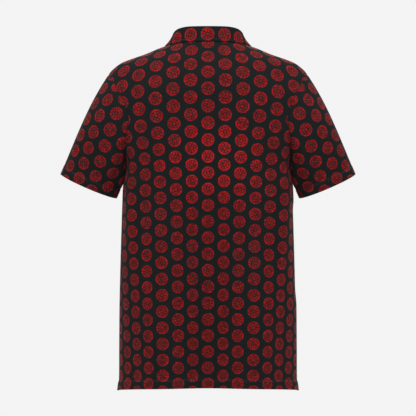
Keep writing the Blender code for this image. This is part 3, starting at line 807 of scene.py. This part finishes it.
sleeveValues = {
    "hemCentre": Vector((250.5, -6.0, -293.8)),
    "hemHalfWidth": 64.0,
    "hemHalfDepth": 50.0,
    "hemTilt": radians(23.1),
    "swing": radians(7.5),
    "endPull": (22, 76),  # below and above
    "clearance": -0.7,  # the cloths touch where the sleeve hangs against the side
    "settles": 8.0,
    "tuck": 3.0,  # the sleeve's head runs this far in under the panels' edges
    "tuckDrop": 0.9,
    "hugFrom": 0.37,  # the underside lies on the shirt's side from here round to the underarm
    "hugTo": 0.44,
    "hugEnds": (-284.0, -302.0),  # and leaves it between these levels
    "touchesFrom": 0.2,
    "around": 120,
    "rows": (3, 36, 22),  # beside the seam, over the sleeve and over its hem
    "rowsChangeAt": (0.03, 0.86),
    "creaseLevels": 59,
    "seamRoll": 0.8,
    "seamRollBreadth": 2.2,
}
sleeveStart = (
    ("turn", "out", "rearward", "down", "pull"),
    (0.00, 0.58, 0.00, 0.87, 76),
    (0.12, 0.62, 0.20, 0.74, 70),
    (0.25, 0.66, 0.12, 0.74, 54),
    (0.33, 0.58, 0.10, 0.80, 42),
    (0.41, 0.34, 0.08, 0.94, 34),
    (0.50, 0.08, 0.00, 1.00, 34),
)


@lru_cache(maxsize=None)
def wallAt(panel, height):
    # the side part of a panel's level section in plan, from its seam or its side inwards
    limit = 1.0
    if height > form["underarmHeight"]:
        level = min(max((height - armholeMiddle) / armholeTall, -1), 1)
        limit = fractionAtY(panel, form["armholeDepth"][panel] * (1 - level**2) ** 0.5, height)
    inwards = np.linspace(limit, 0.6 * limit, 40)
    return bodySurface(panel, inwards, np.full(40, float(height)))[:, :2]


def clearOfBody(point, need, hug):
    # the point, moved out where it is nearer to the panels' outer surface than it needs to be, and
    # moved in to it where the sleeve lies against the shirt's side
    panel = "back" if point.y >= 0 else "front"
    low = np.floor(point.z)
    wall = wallAt(panel, low) * (1 - (point.z - low)) + wallAt(panel, low + 1) * (point.z - low)
    here = np.array([point.x, point.y])
    steps = wall[1:] - wall[:-1]
    t = np.clip(((here - wall[:-1]) * steps).sum(axis=1) / (steps**2).sum(axis=1), 0, 1)
    near = wall[:-1] + steps * t[:, None]
    off = here - near
    k = int(np.hypot(off[:, 0], off[:, 1]).argmin())
    if point.z > form["underarmHeight"] and k == 0 and t[0] == 0:
        return point
    normal = np.array([steps[k, 1], -steps[k, 0]]) / np.hypot(*steps[k])
    normal *= np.sign(normal[0])
    short = need - float(off[k] @ normal)
    move = normal * (short if short > 0 else short * hug)
    return point + Vector((move[0], move[1], 0))


def sleeveLine(turn, ts):
    # the points of one of the left sleeve's lines, from the armhole (t 0) to its hem (t 1)
    v = sleeveValues
    panel = "back" if turn <= 0.5 else "front"
    near = min(turn, 1 - turn)
    rear = 1 if panel == "back" else -1
    place = armhole(panel, near)
    start = bodyPoint(panel, *place)
    angle = 2 * pi * turn
    across = Vector((cos(v["hemTilt"]), 0, sin(v["hemTilt"])))
    rearward = Vector((0, cos(v["swing"]), -sin(v["swing"])))
    down = rearward.cross(across).normalized()
    end = v["hemCentre"] + across * (v["hemHalfWidth"] * cos(angle))
    end += rearward * (v["hemHalfDepth"] * sin(angle))
    out, back, fall, pull = (readOne(sleeveStart, name, near) for name in sleeveStart[0][1:])
    away = Vector((out, rear * back, -fall)).normalized()
    low, high = v["endPull"]
    endPull = low + (high - low) * (1 + cos(angle)) / 2
    normal = bodyNormal(panel, *place)
    start = start + (away + normal) * form["seamGap"]
    points = [start - away * v["tuck"] - normal * v["tuckDrop"]]
    for t in ts:
        weights = ((1 - t) ** 3, 3 * (1 - t) ** 2 * t, 3 * (1 - t) * t**2, t**3)
        controls = (start, start + away * pull, end - down * endPull, end)
        point = sum((c * w for c, w in zip(controls, weights)), Vector())
        if near >= v["touchesFrom"] and t > 0:
            settled = float(ease((point - start).length / v["settles"]))
            fromLevel, toLevel = v["hugEnds"]
            hug = float(ease((near - v["hugFrom"]) / (v["hugTo"] - v["hugFrom"])))
            hug *= float(ease((toLevel - point.z) / (toLevel - fromLevel)))
            point = clearOfBody(point, form["seamGap"] + v["clearance"] * settled, hug)
        points.append(point)
    return points


def sleeveShape():
    v = sleeveValues
    ends = (0, *v["rowsChangeAt"], 1)
    ts = np.unique(np.concatenate([np.linspace(*ends[k : k + 2], v["rows"][k]) for k in range(3)]))
    # the sheet starts and ends at the underarm, where its seam is
    turns = [(0.5 + k / v["around"]) % 1 for k in range(v["around"])]
    points = np.array([[tuple(p) for p in sleeveLine(turn, ts)] for turn in turns])
    return np.concatenate([points, points[:1]])


sleeveCreases = (
    # turn round the sleeve, way down it, drift of the turn on the way, half length, breadth, rise
    (0.30, 0.42, 0.10, 0.30, 0.030, 1.3),
    (0.38, 0.50, 0.06, 0.30, 0.026, -1.1),
    (0.20, 0.30, 0.12, 0.24, 0.034, 0.9),
    (0.70, 0.44, -0.10, 0.30, 0.030, 1.5),
    (0.62, 0.52, -0.05, 0.28, 0.026, -1.2),
    (0.82, 0.32, -0.12, 0.24, 0.034, 1.0),
    (0.06, 0.55, 0.04, 0.34, 0.030, 0.8),
    (0.93, 0.62, -0.03, 0.30, 0.030, -0.7),
)


def sleeveLift(ways):
    # the rolled edge at the armhole, the creases and the hem
    v = sleeveValues
    turn = (0.5 + np.arange(len(ways["foot"])) / (len(ways["foot"]) - 1))[:, None] % 1
    down = ways["foot"] / ways["foot"][:, -1:]
    down = np.floor(down * v["creaseLevels"]) / v["creaseLevels"]
    lift = np.zeros_like(down)
    for at, way, drift, length, breadth, rise in sleeveCreases:
        off = (turn - at - drift * (down - way) + 0.5) % 1 - 0.5
        lift += rise * np.exp(-((off / breadth) ** 2) - ((down - way) / length) ** 4)
    lift *= ease(ways["foot"] / 20) * ease(ways["head"] / seamValues["creasesFade"])
    lift -= rollEdge(ways["foot"], v["seamRoll"], v["seamRollBreadth"])
    return lift + hemBand(ways["head"], "sleeve")


def makeSleeve(hand, base):
    points = base.copy()
    normals = surfaceNormals(points)
    seamed = normals[0] + normals[-1]
    normals[0] = normals[-1] = seamed / np.linalg.norm(seamed, axis=1, keepdims=True)
    outwardSign = np.sign((normals[len(points) // 2, 20] * np.array([1.0, 0, 0.4])).sum())
    points = points + normals * outwardSign * sleeveLift(wayFromEdges(points))[..., None]
    points[-1] = points[0]
    if hand < 0:
        points = points * np.array([-1.0, 1, 1])
    if outwardSign * hand < 0:
        points = points[::-1]
    name = "left" if hand > 0 else "right"
    mesh = gridMesh(name + "SleeveSheet", points)
    cloths = (jersey, jerseyInside)
    piece = newPiece(name + "Sleeve", mesh, cloths, "sleeve_" + name)
    middle = len(points) // 2
    layFlat(piece, points[middle, -4], points[middle, 4])
    bm = bmesh.new()
    bm.from_mesh(mesh)
    bmesh.ops.remove_doubles(bm, verts=bm.verts, dist=0.01 * mm)
    toMesh(bm, mesh)
    giveWall(piece, form["cloth"])
    return points


sleeveBase = sleeveShape()
leftPoints, rightPoints = makeSleeve(1, sleeveBase), makeSleeve(-1, sleeveBase)
print("sleeves made")


collarValues = {
    "levels": (-130, 13),
    "endGap": 3.0,
    "lift": -1.0,  # the stand is sewn in below the neckline
    "foldRadius": 2.3,
    "fallBend": (0.42, -0.4),  # where the fall bends, and by how much
    "fallClearance": 1.0,
    "standSteps": 8,
    "rollSteps": 8,
    "fallSteps": 20,
    "halfTurns": 64,
    "cloth": 1.3,
    "printShift": (22.4, -10.5),
}
collarTable = (
    ("turn", "rollHeight", "lean", "edgeOut", "edgeBehind"),
    (0.00, 39.6, 3.0, 0.0, 63.0),
    (0.10, 39.5, 3.5, 19.6, 60.8),
    (0.20, 38.9, 5.0, 39.0, 53.8),
    (0.30, 36.0, 6.5, 58.5, 40.0),
    (0.40, 30.3, 8.0, 76.5, 21.0),
    (0.50, 22.4, 8.5, 88.5, 1.0),
    (0.60, 7.0, 8.5, 94.0, -21.0),
    (0.70, -13.0, 8.0, 92.0, -41.5),
    (0.80, -31.0, 7.5, 82.0, -59.4),
    (0.90, -44.0, 7.0, 67.5, -73.9),
    (1.00, -51.0, 7.0, 50.0, -87.5),
)


def collarSeam(turn):
    # the neckline, from the centre back (0) over the side of the neck to the front (1)
    if turn <= 0.5:
        return bodyPoint("back", *neckline("back", 2 * turn))
    return bodyPoint("front", *neckline("front", 2 - 2 * turn))


def levelUnder(panel, x, y):
    # the level at which a panel passes under a place in plan, on the slope of the shoulders
    low, high = collarValues["levels"]
    while high - low > 0.02:
        height = (low + high) / 2
        names = ("halfWidth", panel, "squareness")
        width, depth, power = (readOne(sections, name, height) for name in names)
        if (abs(x) / width) ** power + (abs(y) / depth) ** power < 1:
            low = height
        else:
            high = height
    return low


def collarEdge(turn):
    out, behind = (readOne(collarTable, name, turn) for name in ("edgeOut", "edgeBehind"))
    panel = "back" if behind > 0 else "front"
    height = levelUnder(panel, out, behind)
    fraction = fractionAtX(panel, out, height)
    lift = bodyNormal(panel, fraction, height) * collarValues["fallClearance"]
    return bodyPoint(panel, fraction, height) + lift


def collarProfile(turn):
    # the middle of the collar's cloth, up the stand from the neckline, over the roll, down the fall
    v = collarValues
    seam = collarSeam(turn)
    level = Vector((seam.x, seam.y, 0)).normalized()
    up = Vector((0, 0, 1))
    roll = seam - level * readOne(collarTable, "lean", turn)
    roll.z = readOne(collarTable, "rollHeight", turn) - v["foldRadius"]
    standTop, fallTop = roll - level * v["foldRadius"], roll + level * v["foldRadius"]
    foot = seam + (standTop - seam).normalized() * v["lift"]
    points = [foot.lerp(standTop, k / v["standSteps"]) for k in range(v["standSteps"])]
    for k in range(v["rollSteps"]):
        angle = pi * (1 - k / v["rollSteps"])
        points.append(roll + (level * cos(angle) + up * sin(angle)) * v["foldRadius"])
    edge = collarEdge(turn)
    at, by = v["fallBend"]
    bend = fallTop.lerp(edge, at) + (level + up) * by
    for k in range(v["fallSteps"] + 1):
        t = k / v["fallSteps"]
        points.append(fallTop * (1 - t) ** 2 + bend * 2 * t * (1 - t) + edge * t**2)
    return points


def makeCollar():
    half = collarValues["halfTurns"]
    profiles = np.array([[tuple(p) for p in collarProfile(k / half)] for k in range(half + 1)])
    other = profiles[::-1].copy()
    other[..., 0] *= -1
    # the ends stop beside the centre front
    for side, rows, end in ((1, profiles, -1), (-1, other, 0)):
        rows[end, :, 0] += side * collarValues["endGap"]
    points = np.concatenate([other, profiles[1:]])[::-1]  # the faces look outwards over the fall
    mesh = gridMesh("collarSheet", points)
    cloths = (collarJersey, collarJersey)
    piece = newPiece("collarPiece", mesh, cloths, "collar")
    layFlat(piece, points[half, 0], points[half, -1], True, collarValues["printShift"])
    giveWall(piece, collarValues["cloth"], 0.0, 0)
    return points


collarPoints = makeCollar()
print("collar made")


placketValues = {
    "width": 32.0,
    "overlap": 9.0,  # mm below the foot of the slit
    "topGap": 1.0,
    "gap": 0.4,
    "columns": 24,
    "rows": 90,
}
placketFoot = panelGrid["slitFoot"] - placketValues["overlap"]
placketLift = form["collarCloth"] / 2 + placketValues["gap"]


def makePlacket(name, lift, node):
    v = placketValues
    points = np.zeros((v["columns"] + 1, v["rows"] + 1, 3))
    for i in range(v["columns"] + 1):
        x = v["width"] * (i / v["columns"] - 0.5)
        _, top = neckline("front", asin(abs(x) / form["neckHalfWidth"]) / (pi / 2))
        heights = np.linspace(placketFoot, top - v["topGap"], v["rows"] + 1)
        points[i] = bodySurface("front", fractionsAtX("front", x, heights), heights, lift)
    mesh = gridMesh(name + "Sheet", points)
    piece = newPiece(name, mesh, (jersey, jersey), node)
    middle = v["columns"] // 2
    layFlat(piece, points[middle, 2], points[middle, -8])
    giveWall(piece, form["collarCloth"], 0.0, 0)


makePlacket("placketUpper", placketLift, "placket_upper")
under = -form["wallOfSolids"] - placketLift - form["seamGap"]
makePlacket("placketUnder", under, "placket_under")
for number in (1, 2, 3):
    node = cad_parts[f"button_{number}"]
    node.data.materials.clear()
    node.data.materials.append(resin)
print("placket made")


sewing = {
    "pitch": 3.6,
    "half": (1.25, 0.34, 0.24),  # half length, half breadth and half height of one stitch
    "proud": 0.1,
    "hemRows": (16.3, 19.5),  # two needles
    "collarInset": 5.0,
    "placketInset": 2.2,
    "placketPitch": 3.0,
    "placketTop": -84.0,
    "placketBox": 12.0,  # the height of the box of stitches at its foot
    "buttonhole": (2.6, 15.0),
    "buttonholePitch": 0.5,
    "buttonholeHalf": (0.62, 0.22, 0.3),
    "barHalf": (0.8, 0.22, 0.3),
    "buttonLevels": (-86.0, -138.0, -190.0),
    "buttonThickness": 2.6,
    "buttonDish": 0.6,
    "threadHoleCircle": 3.8,
}


def seamLine(points, side, distance, first=0, last=None, outward=1):
    # places and normals on a sheet's surface, on the line at a distance from its foot or its head
    ways, normals = wayFromEdges(points)[side], surfaceNormals(points) * outward
    rise = 1 if side == "foot" else -1
    found = []
    for i in range(first, len(points) if last is None else last):
        way = ways[i][::rise]
        place = [np.interp(distance, way, points[i, ::rise, k]) for k in range(3)]
        normal = [np.interp(distance, way, normals[i, ::rise, k]) for k in range(3)]
        found.append((*place, *normal))
    return np.array(found)


def sewLine(bm, line, pitch, lift=0.0, lengthways=True, half=None):
    # one stitch after another along a line of places and normals
    half = half or sewing["half"]
    way = np.concatenate([[0], np.cumsum(np.linalg.norm(np.diff(line[:, :3], axis=0), axis=1))])
    count = max(int(way[-1] / pitch), 1)
    row = bmesh.new()
    for k in range(count):
        at = (k + 0.5) * way[-1] / count
        near = np.array([np.interp((at - 0.5, at, at + 0.5), way, column) for column in line.T])
        ahead = Vector(near[:3, 2] - near[:3, 0]).normalized()
        normal = Vector(near[3:, 1]).normalized()
        side = normal.cross(ahead).normalized()
        long, broad = (ahead, side) if lengthways else (side, ahead)
        place = Vector(near[:3, 1]) + normal * (lift + sewing["proud"])
        turned = Matrix((long * half[0], broad * half[1], normal * half[2])).transposed().to_4x4()
        turned.translation = place * mm
        bmesh.ops.create_uvsphere(row, u_segments=4, v_segments=2, radius=mm, matrix=turned)
    sewn = toMesh(row, bpy.data.meshes.new("row"))
    bm.from_mesh(sewn)
    bpy.data.meshes.remove(sewn)


def sewnPiece(name, bm):
    bmesh.ops.recalc_face_normals(bm, faces=bm.faces)
    newPiece(name, toMesh(bm, bpy.data.meshes.new(name)), (thread,))


def outwardOf(points, toward):
    # the sign that turns a sheet's normals to its outer side
    middle = surfaceNormals(points)[len(points) // 2, points.shape[1] // 2]
    return 1 if middle @ np.array(toward) > 0 else -1


def sewHems():
    sheets = (
        ("bodyHemSewing", ((backPoints, "foot", (0, 1, 0)), (frontPoints, "foot", (0, -1, 0)))),
        ("leftHemSewing", ((leftPoints, "head", (1, 0, 0.3)),)),
        ("rightHemSewing", ((rightPoints, "head", (-1, 0, 0.3)),)),
    )
    for name, parts in sheets:
        bm = bmesh.new()
        for points, side, toward in parts:
            for distance in sewing["hemRows"]:
                line = seamLine(points, side, distance, outward=outwardOf(points, toward))
                sewLine(bm, line, sewing["pitch"])
        sewnPiece(name, bm)


def sewCollar():
    bm = bmesh.new()
    inset, half = sewing["collarInset"], collarValues["cloth"] / 2
    points = collarPoints
    outward = outwardOf(points[:, -10:], (0, 1, 0))
    ways = wayFromEdges(points)
    reach = ways["first"][:, -3]
    first = int(np.searchsorted(reach, inset))
    line = seamLine(points, "head", inset, first, len(points) - first, outward)
    sewLine(bm, line, sewing["pitch"], half)
    normals = surfaceNormals(points) * outward
    fall = collarValues["standSteps"] + collarValues["rollSteps"] + 2
    for end in (first, len(points) - 1 - first):
        rows = [j for j in range(fall, points.shape[1]) if ways["head"][end, j] >= inset]
        line = np.concatenate([points[end, rows], normals[end, rows]], axis=1)
        sewLine(bm, line, sewing["pitch"], half)
    sewnPiece("collarSewing", bm)


def placketLine(places):
    found = []
    for x, height in places:
        fraction = fractionAtX("front", x, height) * (1 if x >= 0 else -1)
        place = bodySurface("front", [fraction], [height])[0]
        normal = bodyNormal("front", abs(fraction), height)
        found.append((*place, normal.x * (1 if x >= 0 else -1), normal.y, normal.z))
    return np.array(found)


def sewPlacket():
    bm = bmesh.new()
    v = sewing
    lift = placketLift + form["collarCloth"] / 2
    side = placketValues["width"] / 2 - v["placketInset"]
    foot = placketFoot + v["placketInset"]
    heights = np.linspace(foot, v["placketTop"], 60)
    lines = [[(x, height) for height in heights] for x in (-side, side)]
    for height in (foot, foot + v["placketBox"]):
        lines.append([(x, height) for x in np.linspace(-side, side, 12)])
    for places in lines:
        sewLine(bm, placketLine(places), v["placketPitch"], lift)
    broad, long = (size / 2 for size in v["buttonhole"])
    for level in v["buttonLevels"]:
        parts = []
        for x in (-broad / 2, broad / 2):
            upright = [(x, level + h) for h in np.linspace(-long, long, 12)]
            parts.append((upright, v["buttonholeHalf"]))
        for end in (-long, long):
            parts.append(([(x, level + end) for x in np.linspace(-broad, broad, 5)], v["barHalf"]))
        for places, half in parts:
            sewLine(bm, placketLine(places), v["buttonholePitch"], lift, False, half)
        sewButton(bm, level)
    sewnPiece("placketSewing", bm)


def sewButton(bm, level):
    # two strands side by side through each pair of a button's four holes
    v = sewing
    seat = placketLine([(0.0, level + h) for h in (-4, 0, 4)])
    up = Vector(seat[2][:3] - seat[0][:3]).normalized()
    across = Vector((1, 0, 0))
    face = across.cross(up).normalized()
    stack = placketValues["gap"] + form["collarCloth"] + form["seamGap"] + v["buttonThickness"]
    floor = Vector(seat[1][:3]) + face * (stack - v["buttonDish"])
    reach = v["threadHoleCircle"] / 2 * cos(pi / 4)
    for x in (-reach, reach):
        for drift in (-0.2, 0.2):
            places = [floor + across * (x + drift) + up * y for y in (-reach, 0, reach)]
            line = np.array([(*place, *face) for place in places])
            sewLine(bm, line, 5.0, 0.0, True, (reach + 0.7, 0.26, 0.5))


sewHems()
sewCollar()
sewPlacket()
print("sewing made")


studioValues = {
    "floorRadius": 3.5,
    "floorLevel": -1.48,
    "world": 0.9,
    "lens": 500.0,  # mm, on a sensor 36 mm wide
    "sensor": 36.0,
    "frameWidth": 0.8736,  # metres across the picture at the shirt
    "cameraLevel": -0.3402,
    "lights": (
        # name, place, aim, size in metres, power in watts
        ("topLight", (0.0, 0.6, 1.6), (0.0, 0, -0.1), 1.6, 17),
        ("leftLight", (1.9, 0.5, 1.6), (0.25, 0, -0.2), 1.0, 7),
        ("rightLight", (-1.9, 0.5, 1.6), (-0.25, 0, -0.2), 1.0, 7),
        ("backLight", (0.0, 2.4, 0.5), (0.0, 0, -0.35), 1.4, 16),
        ("frontLight", (0.0, -2.4, 0.5), (0.0, 0, -0.35), 1.4, 16),
    ),
}


def makeFloor():
    bm = bmesh.new()
    bmesh.ops.create_circle(bm, cap_ends=True, segments=96, radius=studioValues["floorRadius"])
    bmesh.ops.translate(bm, verts=bm.verts, vec=(0, 0, studioValues["floorLevel"]))
    mesh = toMesh(bm, bpy.data.meshes.new("studioFloor"))
    flat = {"Base Color": fromHex("#dedede"), "Roughness": 0.9}
    mesh.materials.append(newMaterial("matt_floor_paint", flat)[0])
    addObject("studioFloor", mesh)


def makeLights():
    for name, place, aim, size, power in studioValues["lights"]:
        light = bpy.data.lights.new(name, "AREA")
        light.shape = "DISK"
        light.size = size
        light.energy = power
        lamp = addObject(name, light)
        lamp.location = place
        lamp.rotation_euler = (Vector(aim) - Vector(place)).to_track_quat("-Z", "Y").to_euler()
    world = bpy.data.worlds.new("studioWorld")
    world.use_nodes = True
    grey = studioValues["world"]
    world.node_tree.nodes["Background"].inputs["Color"].default_value = (grey, grey, grey, 1)
    bpy.context.scene.world = world
    bpy.context.scene.view_settings.view_transform = "Standard"


def makeCamera():
    # straight behind the shirt
    v = studioValues
    camera = bpy.data.cameras.new("photoCamera")
    camera.lens, camera.sensor_width, camera.clip_end = v["lens"], v["sensor"], 200.0
    holder = addObject("photoCamera", camera)
    holder.location = (0, v["frameWidth"] * v["lens"] / v["sensor"], v["cameraLevel"])
    holder.rotation_euler = (pi / 2, 0, pi)
    bpy.context.scene.camera = holder


makeFloor()
makeLights()
makeCamera()
print("studio made")
